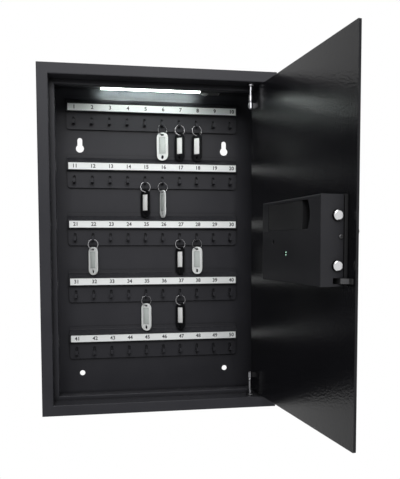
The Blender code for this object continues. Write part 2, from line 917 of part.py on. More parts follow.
def door_leaf(door):
    """A flat leaf whose heel is notched at both corners, where it swings past the stop frame."""
    half = HEIGHT / 2 - FLANGE - LEAF_GAP
    notch_u = HEEL_NOTCH_RUN - LEAF_HEEL
    notch_z = half - HEEL_NOTCH_RISE
    corners = [
        (-LEAF_HEEL, -notch_z),
        (notch_u, -notch_z),
        (notch_u, -half),
        (free_edge(), -half),
        (free_edge(), half),
        (notch_u, half),
        (notch_u, notch_z),
        (-LEAF_HEEL, notch_z),
    ]
    radii = [0.0, 0.0, 0.0, LEAF_CORNER, LEAF_CORNER, 0.0, 0.0, 0.0]
    leaf = out_prism(rounded(corners, radii, 2), -LEAF_THICK, 0.0)
    through = -LEAF_THICK - OVERRUN
    spindle = out_cylinder(SPINDLE + SPINDLE_ROOM, SPINDLE_U, SPINDLE_Z, through, OVERRUN, SMALL_ROUND_STEPS)
    override = out_cylinder(CYLINDER + 2 * FIT, SPINDLE_U, OVERRIDE_Z, through, OVERRUN)
    place("door_leaf", cut(leaf, spindle, override), door_enamel(), door)


def door_knuckles(door):
    knuckle = knuckle_solid()
    place("hinge_knuckle_top", knuckle, steel(), door, (0.0, 0.0, KNUCKLE_TOP - KNUCKLE_LENGTH))
    place("hinge_knuckle_bottom", knuckle.copy(), steel(), door, (0.0, 0.0, -KNUCKLE_TOP))


def case_frame(margin, out):
    """A rectangle round the lock case, this much larger than it, at a distance out from the leaf."""
    half_width = CASE_WIDTH / 2 + margin
    half_height = CASE_HEIGHT / 2 + min(margin, 0.0)
    return (-CASE_U - half_width, -CASE_U + half_width, -half_height, half_height, leaf_y(out))


def lock_base(door):
    """A shallow tray between leaf and cover, in which the bolt carriage slides."""
    tray = lofted_frames(
        [
            case_frame(BASE_MARGIN, FIT),
            case_frame(BASE_MARGIN, BASE_HEIGHT),
            case_frame(BASE_MARGIN - BASE_RIM, BASE_HEIGHT),
            case_frame(BASE_MARGIN - BASE_RIM, FIT + BASE_FLOOR),
        ],
        closed=False,
    )
    hole = out_cylinder(SPINDLE + SPINDLE_ROOM, SPINDLE_U, SPINDLE_Z, -OVERRUN, BASE_HEIGHT, SMALL_ROUND_STEPS)
    place("lock_base", cut(tray, hole), black_plastic(), door)


def lock_cover(door):
    """A folded five-sided cover with a battery bay, bolt holes, a tongue slot and small holes."""
    low = BASE_HEIGHT + FIT
    inner = CASE_TOP - CASE_WALL
    frames = [case_frame(-CASE_WALL, inner), case_frame(-CASE_WALL, low), case_frame(0.0, low)]
    for step in range(BEND_STEPS + 1):
        angle = math.pi / 2 * step / BEND_STEPS
        inset = -CASE_BEND * (1.0 - math.cos(angle))
        frames.append(case_frame(inset, CASE_TOP - CASE_BEND * (1.0 - math.sin(angle))))
    cover = lofted_frames(frames, closed=False)
    tools = [out_prism(bay_outline(BAY_FAR_U, 0.0), inner - OVERRUN, CASE_TOP + OVERRUN)]
    side_low = -CASE_U - CASE_WIDTH / 2 - OVERRUN
    side_high = -CASE_U - CASE_WIDTH / 2 + CASE_WALL + OVERRUN
    for z in (-BOLT_Z, BOLT_Z):
        tools.append(prism(circle(BOLT_HOLE, (leaf_y(BOLT_OUT), z)), "yz", side_low, side_high))
    screw = circle(SCREW_SHANK + 2 * FIT, (leaf_y(SCREW_OUT), SCREW_Z), SMALL_ROUND_STEPS)
    tools.append(prism(screw, "yz", side_low, side_high))
    window = box_outline((leaf_y(WINDOW_OUT_LOW), WINDOW_Z_LOW), (leaf_y(WINDOW_OUT_HIGH), WINDOW_Z_HIGH))
    tools.append(prism(window, "yz", side_low, side_high))
    top_low = inner - OVERRUN
    top_high = CASE_TOP + OVERRUN
    tools.append(out_cylinder(RESET_HOLE, RESET_U, RESET_Z, top_low, top_high, SMALL_ROUND_STEPS))
    tools.append(out_cylinder(LENS + 2 * FIT, LENS_U, LENS_Z, top_low, top_high, SMALL_ROUND_STEPS))
    place("lock_cover", cut(cover, *tools), powder_coat(), door)


def bay_outline(start_u, inset):
    """The battery bay's outline in (u, z), straight where the lid lies and curved at the finger scoop."""
    middle = (BAY_LOW_Z + BAY_HIGH_Z) / 2
    half = (BAY_HIGH_Z - BAY_LOW_Z) / 2 - inset
    bulge = BAY_BULGE
    radius = (half * half + bulge * bulge) / (2 * bulge)
    spread = math.asin(half / radius)
    centre = (BAY_NEAR_U - inset - radius, middle)
    curve = arc(centre, radius, -spread, spread, 2 * CORNER_STEPS)
    return [(start_u, middle - half)] + curve + [(start_u, middle + half)]


def lid_end_u():
    return BAY_FAR_U + FIT + LID_LENGTH


def battery_lid(door):
    """The lid's origin is the outer edge that it turns on when its free end is lifted."""
    top = CASE_TOP - FIT
    low = box_outline((BAY_FAR_U + FIT, BAY_LOW_Z + FIT), (lid_end_u(), BAY_HIGH_Z - FIT))
    lid = out_prism(low, top - LID_THICK, top)
    pivot = (-BAY_FAR_U - FIT, leaf_y(top), 0.0)
    shifted(lid, -pivot[0], -pivot[1], 0.0)
    place("battery_lid", lid, black_plastic(), door, pivot)


def battery_tub(door):
    """The cell bay and the finger scoop beside the lid, whose far side is curved."""
    top = CASE_TOP - CASE_WALL - FIT
    lowest = (BAY_FAR_U - TUB_WALL, BAY_LOW_Z - CASE_WALL)
    highest = (BAY_NEAR_U + TUB_WALL, BAY_HIGH_Z + CASE_WALL)
    outline = box_outline(lowest, highest)
    tub = out_prism(outline, TUB_FLOOR_OUT, top)
    bay = box_outline((BAY_FAR_U + FIT, BAY_LOW_Z + FIT), (lid_end_u() - TUB_WALL, BAY_HIGH_Z - FIT))
    cells = out_prism(bay, TUB_FLOOR_OUT + TUB_WALL, top + OVERRUN)
    well = out_prism(bay_outline(lid_end_u() - FIT, FIT), SCOOP_OUT, top + OVERRUN)
    over = BAY_NEAR_U + TUB_WALL + OVERRUN
    reach = CASE_WALL + OVERRUN
    below = box_outline((lid_end_u(), BAY_LOW_Z - reach), (over, BAY_HIGH_Z + reach))
    bolt_room = out_prism(below, TUB_FLOOR_OUT - OVERRUN, SCOOP_OUT - TUB_WALL)
    place("battery_tub", cut(tub, cells, well, bolt_room), black_plastic(), door)


def battery_cells(door):
    """Four round cells in one wrapped block, two rows of two."""
    radius = CELL / 2
    nipple = CELL_NIPPLE / 2
    middle_z = (BAY_LOW_Z + BAY_HIGH_Z) / 2
    row_offset = radius - CELL_LAP
    out = TUB_FLOOR_OUT + TUB_WALL + FIT + radius
    profile = [
        (0.0, 0.0),
        (radius, 0.0),
        (radius, CELL_LENGTH - CELL_NIPPLE_LENGTH),
        (nipple, CELL_LENGTH - CELL_NIPPLE_LENGTH),
        (nipple, CELL_LENGTH),
        (0.0, CELL_LENGTH),
    ]
    start = BAY_FAR_U + TUB_WALL
    solids = []
    for z in (middle_z - row_offset, middle_z + row_offset):
        for index in range(2):
            cell = laid_along_x(turned(profile, SMALL_ROUND_STEPS))
            u = start + index * (CELL_LENGTH - CELL_LAP)
            solids.append(shifted(cell, -u, leaf_y(out), z))
    block = solids[0]
    for solid in solids[1:]:
        block = fused(block, solid)
    place("battery_cells", block, material("cell_wrap", (0.10, 0.12, 0.30), 0.4), door)


def small_case_parts(door):
    top = CASE_TOP - RESET_SUNK
    radius = RESET_HOLE / 2 - FIT
    button = turned([(0.0, 0.0), (radius, 0.0), (radius, RESET_LENGTH), (0.0, RESET_LENGTH)], SMALL_ROUND_STEPS)
    laid_along_y(button)
    place("reset_button", button, light_plastic(), door, (-RESET_U, leaf_y(top - RESET_LENGTH), RESET_Z))
    top = CASE_TOP - LENS_SUNK
    radius = LENS / 2
    profile = [(0.0, 0.0), (radius, 0.0), (radius, LENS_LENGTH * LENS_SHOULDER_SHARE)]
    profile += [(radius * LENS_CROWN_SHARE, LENS_LENGTH), (0.0, LENS_LENGTH)]
    lens = turned(profile, SMALL_ROUND_STEPS)
    laid_along_y(lens)
    green = material("green_lens", (0.10, 0.60, 0.25), 0.15)
    place("status_lens", lens, green, door, (-LENS_U, leaf_y(top - LENS_LENGTH), LENS_Z))
    shank = SCREW_SHANK / 2
    head = SCREW_HEAD / 2
    profile = [(0.0, -SCREW_LENGTH), (shank, -SCREW_LENGTH), (shank, FIT), (head, FIT)]
    profile += [(head, SCREW_HEAD_HEIGHT * SCREW_RIM_SHARE), (head * SCREW_RIM_SHARE, SCREW_HEAD_HEIGHT)]
    profile.append((0.0, SCREW_HEAD_HEIGHT))
    screw = turned(profile, SMALL_ROUND_STEPS)
    socket_floor = SCREW_HEAD_HEIGHT - SCREW_HEX_DEPTH
    socket = prism(circle(SCREW_HEX, steps=6), "xy", socket_floor, SCREW_HEAD_HEIGHT + OVERRUN)
    screw = laid_along_x(cut(screw, socket))
    place("cover_screw", screw, zinc(), door, (-CASE_U - CASE_WIDTH / 2, leaf_y(SCREW_OUT), SCREW_Z))


def guide_tongue(door):
    """A flat steel strip that comes out of the cover's slot and steps down onto the leaf beside the free edge."""
    side = CASE_U + CASE_WIDTH / 2
    upper = TONGUE_OUT
    lower = FIT
    bend = side + TONGUE_STEP
    landing = bend + TONGUE_STEP
    outline = [
        (side - TONGUE_INSIDE, upper),
        (bend, upper),
        (landing, lower),
        (side + TONGUE_REACH, lower),
        (side + TONGUE_REACH, lower + TONGUE_THICK),
        (landing + TONGUE_THICK / 2, lower + TONGUE_THICK),
        (bend + TONGUE_THICK / 2, upper + TONGUE_THICK),
        (side - TONGUE_INSIDE, upper + TONGUE_THICK),
    ]
    points = [(-u, leaf_y(out)) for u, out in outline]
    strip = prism(points, "xy", WINDOW_Z_LOW + FIT, WINDOW_Z_HIGH - FIT)
    place("guide_tongue", strip, zinc(), door)


# Bolt work


def carriage_out():
    """The lower face of the bolt carriage, above the tray's floor."""
    return BASE_FLOOR + 2 * FIT + FIT


def bolt_inner_u():
    return CASE_U + CASE_WIDTH / 2 + BOLT_PROUD - BOLT_LENGTH


def crank_radius():
    """The crank carries the bolts over their travel in a quarter turn."""
    return BOLT_TRAVEL / 2 * math.sqrt(2.0)


def bolt_carriage(bolts):
    """A plate with a slot for the crank's pin, a long slot for the spindle, an upstand that carries the bolts, and
    a notch for the solenoid's plunger at either end of the travel."""
    low = carriage_out()
    near = bolt_inner_u() - FIT
    far = near - CARRIAGE_LENGTH
    half = CARRIAGE_HEIGHT / 2
    plate = out_prism(box_outline((far, -half), (near, half)), low, low + CARRIAGE_THICK)
    wall = box_outline((near - CARRIAGE_THICK, -half), (near, half))
    upstand = out_prism(wall, low + CARRIAGE_THICK / 2, low + CARRIAGE_UPSTAND)
    carriage = fused(plate, upstand)
    pin_u = SPINDLE_U - BOLT_TRAVEL / 2
    slot_high = SPINDLE_Z - BOLT_TRAVEL / 2 + CRANK_PIN / 4
    slot_low = SPINDLE_Z - crank_radius() - CRANK_PIN / 4
    pin_slot = capsule((pin_u, slot_low), (pin_u, slot_high), CRANK_SLOT / 2, CORNER_STEPS)
    spindle_half = SPINDLE / 2 + 2 * FIT
    spindle_slot = capsule(
        (SPINDLE_U - BOLT_TRAVEL, SPINDLE_Z), (SPINDLE_U, SPINDLE_Z), spindle_half, CORNER_STEPS
    )
    outlines = [pin_slot, spindle_slot]
    for notch_u in (SOLENOID_U, SOLENOID_U - BOLT_TRAVEL):
        corner = (notch_u - NOTCH / 2, -half - OVERRUN)
        outlines.append(box_outline(corner, (notch_u + NOTCH / 2, NOTCH_DEPTH - half)))
    reach = low + CARRIAGE_THICK + FIT
    tools = [out_prism(outline, low - FIT, reach) for outline in outlines]
    place("bolt_carriage", cut(carriage, *tools), zinc(), bolts)


def lock_bolts(bolts):
    radius = BOLT / 2
    profile = [
        (0.0, 0.0),
        (radius, 0.0),
        (radius, BOLT_LENGTH - BOLT_CHAMFER),
        (radius - BOLT_CHAMFER, BOLT_LENGTH),
        (0.0, BOLT_LENGTH),
    ]
    for name, z in (("lock_bolt_upper", BOLT_Z), ("lock_bolt_lower", -BOLT_Z)):
        bolt = laid_along_x(turned(profile, ROUND_STEPS))
        chromed = material("chromed_bolt", (0.80, 0.80, 0.80), 0.12, 1.0)
        place(name, bolt, chromed, bolts, (-bolt_inner_u(), leaf_y(BOLT_OUT), z))


def spindle_and_crank(knob):
    """The knob's spindle runs through the leaf and the carriage to a crank whose pin drives the carriage."""
    end = carriage_out() + CARRIAGE_THICK + FIT + CRANK_THICK
    start = -LEAF_THICK - HOUSING_THICK - FIT - SPINDLE_IN_KNOB
    arm_low = end - CRANK_THICK
    shaft = out_cylinder(SPINDLE, 0.0, 0.0, start, end, SMALL_ROUND_STEPS)
    pin_at = (-BOLT_TRAVEL / 2, -BOLT_TRAVEL / 2)
    arm = out_prism(capsule(pin_at, (0.0, 0.0), CRANK_ARM / 2, CORNER_STEPS), arm_low, end + FIT)
    pin = out_cylinder(CRANK_PIN, pin_at[0], pin_at[1], carriage_out() - FIT, end, SMALL_ROUND_STEPS)
    crank = fused(fused(shaft, arm), pin)
    place("spindle_crank", crank, zinc(), knob)


def lock_knob(knob):
    """A round rosette with a raised bar grip."""
    low = -LEAF_THICK - HOUSING_THICK - 2 * FIT
    radius = KNOB / 2
    profile = [(0.0, 0.0), (radius, 0.0), (radius, KNOB_BASE - KNOB_EDGE)]
    profile += [(radius - KNOB_EDGE, KNOB_BASE), (0.0, KNOB_BASE)]
    rosette = turned(profile, ROUND_STEPS)
    grip_end = (radius - KNOB_GRIP_WIDTH / 2 - KNOB_EDGE, 0.0)
    bar = capsule((-grip_end[0], 0.0), grip_end, KNOB_GRIP_WIDTH / 2, CORNER_STEPS)
    narrow = capsule((-grip_end[0], 0.0), grip_end, KNOB_GRIP_WIDTH / 2 - KNOB_EDGE, CORNER_STEPS)
    shape = bmesh.new()
    rings = []
    top = KNOB_BASE + KNOB_GRIP_HEIGHT
    for outline, height in ((bar, KNOB_BASE / 2), (bar, top - KNOB_EDGE), (narrow, top)):
        rings.append([shape.verts.new((x, y, height)) for x, y in outline])
    join_rings(shape, rings)
    shape.faces.new(rings[0])
    shape.faces.new(rings[-1])
    body = fused(rosette, finished(shape))
    bore = prism(circle(SPINDLE + 2 * FIT, steps=SMALL_ROUND_STEPS), "xy", -OVERRUN, SPINDLE_IN_KNOB + FIT)
    body = cut(body, bore)
    moved(body, Matrix.Rotation(math.pi / 2, 4, "X"))
    shifted(body, y=leaf_y(low))
    place("lock_knob", body, black_plastic(), knob)


def solenoid(door):
    """The coil block and the spring plunger that blocks the carriage."""
    half = SOLENOID_WIDTH / 2
    top_z = -CARRIAGE_HEIGHT / 2 - FIT - PLUNGER / 2
    low_z = -CASE_HEIGHT / 2 + CASE_WALL + FIT
    low_out = BASE_HEIGHT + FIT
    block = out_prism(box_outline((SOLENOID_U - half, low_z), (SOLENOID_U + half, top_z)), low_out, SOLENOID_TOP)
    middle_out = carriage_out() + CARRIAGE_THICK / 2 + PLUNGER / 2
    return block, middle_out, top_z


def solenoid_parts(door):
    block, middle_out, top_z = solenoid(door)
    plunger_y = leaf_y(middle_out + PLUNGER / 2)
    bore_outline = circle(PLUNGER + 2 * FIT, (-SOLENOID_U, plunger_y), SMALL_ROUND_STEPS)
    bore = prism(bore_outline, "xy", top_z - PLUNGER_INSIDE - FIT, top_z + OVERRUN)
    place("solenoid", cut(block, bore), material("solenoid_wrap", (0.25, 0.05, 0.04), 0.5), door)
    length = PLUNGER_INSIDE + PLUNGER / 2
    plunger = turned([(0.0, 0.0), (PLUNGER / 2, 0.0), (PLUNGER / 2, length), (0.0, length)], SMALL_ROUND_STEPS)
    place("solenoid_plunger", plunger, steel(), door, (-SOLENOID_U, plunger_y, top_z - PLUNGER_INSIDE))


# Outer face of the door


def keypad(door):
    """A moulded housing with a sunk keypad, the knob's hole and the override lock's hole."""
    half_width = HOUSING_WIDTH / 2
    half_height = HOUSING_HEIGHT / 2
    back = -LEAF_THICK - FIT
    front = -LEAF_THICK - HOUSING_THICK
    shape = bmesh.new()
    rings = []
    nick = HOUSING_EDGE / 4
    for inset, out in ((0.0, back), (0.0, front + HOUSING_EDGE), (nick, front + nick), (HOUSING_EDGE, front)):
        low = (HOUSING_U - half_width + inset, -half_height + inset)
        high = (HOUSING_U + half_width - inset, half_height - inset)
        outline = rounded_box(low, high, HOUSING_CORNER - inset)
        rings.append([shape.verts.new((-u, leaf_y(out), z)) for u, z in outline])
    join_rings(shape, rings)
    shape.faces.new(rings[0])
    shape.faces.new(rings[-1])
    housing = finished(shape)
    half_pad = (PAD_WIDTH / 2, PAD_HEIGHT / 2)
    recess = rounded_box((PAD_U - half_pad[0], -half_pad[1]), (PAD_U + half_pad[0], half_pad[1]), PAD_CORNER)
    floor = front + PAD_SUNK
    pocket = out_prism(recess, front - OVERRUN, floor)
    low = front - OVERRUN
    spindle = out_cylinder(SPINDLE + SPINDLE_ROOM, SPINDLE_U, SPINDLE_Z, low, back + OVERRUN, SMALL_ROUND_STEPS)
    override = out_cylinder(CYLINDER + 2 * FIT, SPINDLE_U, OVERRIDE_Z, front - OVERRUN, back + OVERRUN)
    place("keypad_housing", cut(housing, pocket, spindle, override), black_plastic(), door)
    inner = rounded_box(
        (PAD_U - half_pad[0] + FIT, FIT - half_pad[1]), (PAD_U + half_pad[0] - FIT, half_pad[1] - FIT), PAD_CORNER - FIT
    )
    pad = out_prism(inner, floor - FIT - PAD_THICK, floor - FIT)
    place("keypad_pad", pad, material("keypad_face", (0.05, 0.05, 0.055), 0.3), door)


def override_lock(door):
    """An emergency key cylinder, set back behind a plug that pulls off."""
    front = -LEAF_THICK - HOUSING_THICK + CYLINDER_SUNK
    radius = CYLINDER / 2
    length = -front
    core = turned([(0.0, 0.0), (radius, 0.0), (radius, length), (0.0, length)], ROUND_STEPS)
    half = (KEYWAY_WIDTH / 2, KEYWAY_HEIGHT / 2)
    keyway = prism(box_outline((-half[0], -half[1]), half), "xy", -OVERRUN, KEYWAY_DEPTH)
    core = laid_along_y(cut(core, keyway))
    place("override_cylinder", core, steel(), door, (-SPINDLE_U, leaf_y(front), OVERRIDE_Z))
    radius = CAP / 2
    profile = [(0.0, 0.0), (radius, 0.0), (radius, CAP_THICK - CAP_EDGE)]
    profile += [(radius - CAP_EDGE, CAP_THICK), (0.0, CAP_THICK)]
    plug = turned(profile, ROUND_STEPS)
    moved(plug, Matrix.Rotation(math.pi / 2, 4, "X"))
    seat = -LEAF_THICK - HOUSING_THICK - FIT
    place("override_plug", plug, black_plastic(), door, (-SPINDLE_U, leaf_y(seat), OVERRIDE_Z))


def door():
    turn = math.radians(DOOR_OPEN_DEGREES)
    door_axis = axis_empty("door_axis", hinge_axis_point(), turn)
    door_leaf(door_axis)
    door_knuckles(door_axis)
    lock_base(door_axis)
    lock_cover(door_axis)
    battery_lid(door_axis)
    battery_tub(door_axis)
    battery_cells(door_axis)
    small_case_parts(door_axis)
    guide_tongue(door_axis)
    bolts = axis_empty("bolt_slide_axis", (0.0, 0.0, 0.0), 0.0, door_axis)
    bolt_carriage(bolts)
    lock_bolts(bolts)
    knob = axis_empty("knob_axis", (-SPINDLE_U, 0.0, SPINDLE_Z), 0.0, door_axis)
    spindle_and_crank(knob)
    lock_knob(knob)
    solenoid_parts(door_axis)
    keypad(door_axis)
    override_lock(door_axis)


def main():
    clear_scene()
    body_shell()
    back_panel()
    hook_rails()
    light_bar()
    hinge_pins()
    door()
    rings_and_tags()


main()
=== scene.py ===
# %% [markdown]
# # A wall key cabinet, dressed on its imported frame
#
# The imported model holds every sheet-metal part at its true size and place. This lesson gives each surface
# its finish, adds the pieces that are too fine for the solid model, such as printed numbers, coiled split
# rings, tag inserts and keypad keys, and then sets up the light and the camera. Lengths are in metres. X is
# to the right, Y goes into the wall and Z is up.

# %% Load the frame
import json
import math

import bmesh
import bpy
from mathutils import Matrix, Vector


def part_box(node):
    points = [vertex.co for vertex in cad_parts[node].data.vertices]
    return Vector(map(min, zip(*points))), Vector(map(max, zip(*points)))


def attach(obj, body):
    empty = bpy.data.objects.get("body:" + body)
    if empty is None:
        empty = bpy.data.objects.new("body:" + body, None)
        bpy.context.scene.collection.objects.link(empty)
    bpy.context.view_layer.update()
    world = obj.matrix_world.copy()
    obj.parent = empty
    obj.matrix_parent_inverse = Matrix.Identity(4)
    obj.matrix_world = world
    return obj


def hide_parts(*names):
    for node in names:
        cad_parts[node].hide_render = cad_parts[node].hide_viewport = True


MM = 0.001
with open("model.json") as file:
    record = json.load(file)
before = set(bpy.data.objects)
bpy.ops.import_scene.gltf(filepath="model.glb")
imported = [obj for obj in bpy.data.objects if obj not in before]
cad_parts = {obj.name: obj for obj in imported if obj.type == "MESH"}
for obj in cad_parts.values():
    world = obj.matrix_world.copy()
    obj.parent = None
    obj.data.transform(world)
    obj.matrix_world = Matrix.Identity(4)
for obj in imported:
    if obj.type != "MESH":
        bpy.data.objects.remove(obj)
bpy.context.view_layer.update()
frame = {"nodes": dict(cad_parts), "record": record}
joints = {joint["name"]: joint for joint in frame["record"]["behaviour"]["joints"]}
print("nodes:", len(frame["nodes"]), "joints:", len(joints))

# %% [markdown]
# ## Working habits
#
# An operator acts on everything that is selected, and the frame arrives selected. So each new piece starts
# with nothing selected. When a piece is done, its place and turn go into its mesh, because patterns read
# Object coordinates and the piece has to sit at the origin, as the frame's own parts do.


# %% Selection and finishing helpers
def select_only(*pieces):
    bpy.ops.object.select_all(action="DESELECT")
    for piece in pieces:
        piece.select_set(True)
    bpy.context.view_layer.objects.active = pieces[0]


def settle(piece, name, smooth_degrees=35.0):
    """Puts a piece's place into its mesh, and shades it smooth between sharp edges."""
    select_only(piece)
    bpy.ops.object.transform_apply(location=True, rotation=True, scale=True)
    bpy.ops.object.shade_smooth_by_angle(angle=math.radians(smooth_degrees))
    piece.name = name
    return piece


def join_all(pieces, name):
    select_only(*pieces)
    bpy.ops.object.join()
    return settle(bpy.context.object, name)


def apply_bevel(piece, width, segments=2):
    select_only(piece)
    modifier = piece.modifiers.new("rounding", "BEVEL")
    modifier.width = width
    modifier.segments = segments
    modifier.limit_method = "ANGLE"
    bpy.ops.object.modifier_apply(modifier=modifier.name)


def add_block(centre, size, turn=0.0, bevel=0.0):
    """A box at its size and place, turned about the vertical, with rounded edges."""
    bpy.ops.object.select_all(action="DESELECT")
    bpy.ops.mesh.primitive_cube_add(size=1.0, location=centre, rotation=(0.0, 0.0, turn))
    block = bpy.context.object
    block.scale = size
    bpy.ops.object.transform_apply(location=False, rotation=False, scale=True)
    if bevel:
        apply_bevel(block, bevel)
    return block


# %% [markdown]
# ## The door's own frame
#
# The door stands open at 97 degrees. Pieces on it are placed by how far they are from the hinge axis
# towards the free edge, how far out from the leaf's inner face, and their height, and one function turns
# that into the row frame.

# %% Door frame
DOOR_TURN = math.radians(97.0)
LEAF_STANDOFF = 9 * MM
LEAF_THICK = 3.5 * MM
DOOR_REACH = 0.317
hinge_axis = Vector(joints["door_hinge"]["pos_m"])
door_matrix = Matrix.Translation(hinge_axis) @ Matrix.Rotation(DOOR_TURN, 4, "Z")


def on_door(along, out, height):
    return door_matrix @ Vector((-along, out - LEAF_STANDOFF, height))


print("free edge at", [round(value, 3) for value in on_door(DOOR_REACH, 0.0, 0.0)])

# %% [markdown]
# ## Shared surface effects
#
# Baked powder coat isn't flat: it sets with a fine orange-peel relief and a faint mottle. Moulded plastic
# has the same kind of relief, only finer. One node group gives both, with their two scales as inputs. A
# second group gives fine dust on surfaces that face up.


# %% Grain and dust groups
def group_socket(group, name, direction, kind, value=None):
    socket = group.interface.new_socket(name=name, in_out=direction, socket_type=kind)
    if value is not None:
        socket.default_value = value
    return socket


def build_grain_group():
    """Peel relief and mottle from two noises on Object coordinates."""
    group = bpy.data.node_groups.new("coat_grain", "ShaderNodeTree")
    group_socket(group, "Vector", "INPUT", "NodeSocketVector")
    group_socket(group, "Grains per metre", "INPUT", "NodeSocketFloat", 700.0)
    group_socket(group, "Mottle per metre", "INPUT", "NodeSocketFloat", 14.0)
    group_socket(group, "Height", "OUTPUT", "NodeSocketFloat")
    group_socket(group, "Mottle", "OUTPUT", "NodeSocketFloat")
    nodes, links = group.nodes, group.links
    entry = nodes.new("NodeGroupInput")
    leave = nodes.new("NodeGroupOutput")
    peel = nodes.new("ShaderNodeTexNoise")
    peel.inputs["Detail"].default_value = 2.0
    peel.inputs["Roughness"].default_value = 0.45
    patches = nodes.new("ShaderNodeTexNoise")
    patches.inputs["Detail"].default_value = 4.0
    links.new(entry.outputs["Vector"], peel.inputs["Vector"])
    links.new(entry.outputs["Vector"], patches.inputs["Vector"])
    links.new(entry.outputs["Grains per metre"], peel.inputs["Scale"])
    links.new(entry.outputs["Mottle per metre"], patches.inputs["Scale"])
    links.new(peel.outputs["Fac"], leave.inputs["Height"])
    links.new(patches.outputs["Fac"], leave.inputs["Mottle"])
    return group


def build_dust_group():
    """A mask of fine specks on surfaces that face up."""
    group = bpy.data.node_groups.new("settled_dust", "ShaderNodeTree")
    group_socket(group, "Vector", "INPUT", "NodeSocketVector")
    group_socket(group, "Amount", "INPUT", "NodeSocketFloat", 0.2)
    group_socket(group, "Mask", "OUTPUT", "NodeSocketFloat")
    nodes, links = group.nodes, group.links
    entry = nodes.new("NodeGroupInput")
    leave = nodes.new("NodeGroupOutput")
    specks = nodes.new("ShaderNodeTexNoise")
    specks.inputs["Scale"].default_value = 260.0
    specks.inputs["Detail"].default_value = 5.0
    contrast = nodes.new("ShaderNodeMapRange")
    contrast.inputs["From Min"].default_value = 0.52
    contrast.inputs["From Max"].default_value = 0.72
    geometry = nodes.new("ShaderNodeNewGeometry")
    split = nodes.new("ShaderNodeSeparateXYZ")
    facing = nodes.new("ShaderNodeMapRange")
    facing.inputs["From Min"].default_value = 0.4
    facing.inputs["From Max"].default_value = 0.95
    both = nodes.new("ShaderNodeMath")
    both.operation = "MULTIPLY"
    scaled = nodes.new("ShaderNodeMath")
    scaled.operation = "MULTIPLY"
    links.new(entry.outputs["Vector"], specks.inputs["Vector"])
    links.new(specks.outputs["Fac"], contrast.inputs["Value"])
    links.new(geometry.outputs["Normal"], split.inputs["Vector"])
    links.new(split.outputs["Z"], facing.inputs["Value"])
    links.new(contrast.outputs["Result"], both.inputs[0])
    links.new(facing.outputs["Result"], both.inputs[1])
    links.new(both.outputs["Value"], scaled.inputs[0])
    links.new(entry.outputs["Amount"], scaled.inputs[1])
    links.new(scaled.outputs["Value"], leave.inputs["Mask"])
    return group


GRAIN = build_grain_group()
DUST = build_dust_group()
print("groups:", GRAIN.name, DUST.name)

# %% [markdown]
# ## One recipe for coated and moulded surfaces
#
# Every opaque surface here is built alike: two close colours mixed by the mottle, painted shade in
# crevices, where an Ambient Occlusion node darkens the base colour, roughness that varies a little, relief
# from the grain, edges softened by a Bevel node, and dust on top. Only the values differ from one finish to
# the next, so a function takes them.


# %% Finish recipe
# Painted shade in crevices: the ray count and reach of the Ambient Occlusion node that darkens the base
# colour.
PAINTED_SHADE_SAMPLES = 8
PAINTED_SHADE_REACH = 7 * MM


def make_finish(
    name, dark, light, rough, grains=700.0, relief=0.12, dust=0.1, edge=0.5 * MM, metallic=0.0, shine=0.5
):
    """A Principled material with grain, mottle, painted shade in crevices, soft edges and dust; rough is a
    range.
    """
    made = bpy.data.materials.new(name)
    made.use_nodes = True
    nodes, links = made.node_tree.nodes, made.node_tree.links
    shader = nodes["Principled BSDF"]
    shader.inputs["Metallic"].default_value = metallic
    shader.inputs["Specular IOR Level"].default_value = shine
    place = nodes.new("ShaderNodeTexCoord")
    grain = nodes.new("ShaderNodeGroup")
    grain.node_tree = GRAIN
    grain.inputs["Grains per metre"].default_value = grains
    links.new(place.outputs["Object"], grain.inputs["Vector"])
    dust_mask = nodes.new("ShaderNodeGroup")
    dust_mask.node_tree = DUST
    dust_mask.inputs["Amount"].default_value = dust
    links.new(place.outputs["Object"], dust_mask.inputs["Vector"])
    colours = nodes.new("ShaderNodeMix")
    colours.data_type = "RGBA"
    colours.inputs["A"].default_value = (*dark, 1.0)
    colours.inputs["B"].default_value = (*light, 1.0)
    links.new(grain.outputs["Mottle"], colours.inputs["Factor"])
    dusted = nodes.new("ShaderNodeMix")
    dusted.data_type = "RGBA"
    dusted.inputs["B"].default_value = (0.34, 0.33, 0.31, 1.0)
    links.new(dust_mask.outputs["Mask"], dusted.inputs["Factor"])
    # Painted shade: the Ambient Occlusion node darkens the base colour in crevices and recesses.
    painted_crevice_shade = nodes.new("ShaderNodeAmbientOcclusion")
    painted_crevice_shade.samples = PAINTED_SHADE_SAMPLES
    painted_crevice_shade.inputs["Distance"].default_value = PAINTED_SHADE_REACH
    links.new(colours.outputs["Result"], painted_crevice_shade.inputs["Color"])
    links.new(painted_crevice_shade.outputs["Color"], dusted.inputs["A"])
    links.new(dusted.outputs["Result"], shader.inputs["Base Color"])
    roughness = nodes.new("ShaderNodeMapRange")
    roughness.inputs["To Min"].default_value = rough[0]
    roughness.inputs["To Max"].default_value = rough[1]
    links.new(grain.outputs["Mottle"], roughness.inputs["Value"])
    links.new(roughness.outputs["Result"], shader.inputs["Roughness"])
    bump = nodes.new("ShaderNodeBump")
    bump.inputs["Strength"].default_value = relief
    bump.inputs["Distance"].default_value = 0.4 * MM
    links.new(grain.outputs["Height"], bump.inputs["Height"])
    if edge:
        soften = nodes.new("ShaderNodeBevel")
        soften.samples = 4
        soften.inputs["Radius"].default_value = edge
        links.new(soften.outputs["Normal"], bump.inputs["Normal"])
    links.new(bump.outputs["Normal"], shader.inputs["Normal"])
    return made


def shader_of(finish):
    return finish.node_tree.nodes["Principled BSDF"]


